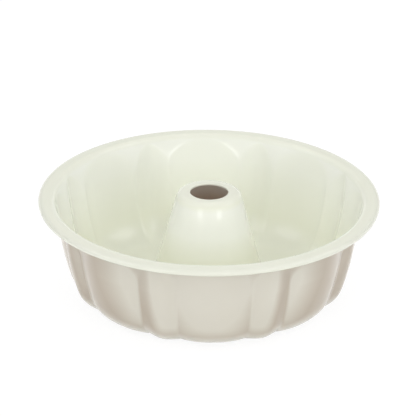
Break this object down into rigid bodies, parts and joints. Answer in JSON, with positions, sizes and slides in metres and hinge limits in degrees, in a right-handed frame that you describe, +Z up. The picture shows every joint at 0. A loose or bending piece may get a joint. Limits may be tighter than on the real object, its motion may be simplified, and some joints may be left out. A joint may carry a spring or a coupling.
{
  "type": "enamel bundt pan",
  "caption": "Round fluted cake pan with a flat rolled rim and a tapered centre tube, pressed from steel sheet and enamelled cream inside and champagne outside.",
  "frame": {"origin": "centre of the pan on the surface that it stands on", "axes": "+Z up along the tube's axis, -Y through the middle of a wide lobe"},
  "size_m": [0.26, 0.26, 0.083],
  "materials": {
    "steel": "bare pressed sheet, hidden under the enamel",
    "cream_enamel": "glossy cream enamel",
    "champagne_enamel": "glossy champagne enamel"
  },
  "bodies": {
    "root": {"fluted_shell": "steel", "centre_tube": "steel", "inner_enamel": "cream_enamel", "outer_enamel": "champagne_enamel"}
  },
  "joints": []
}
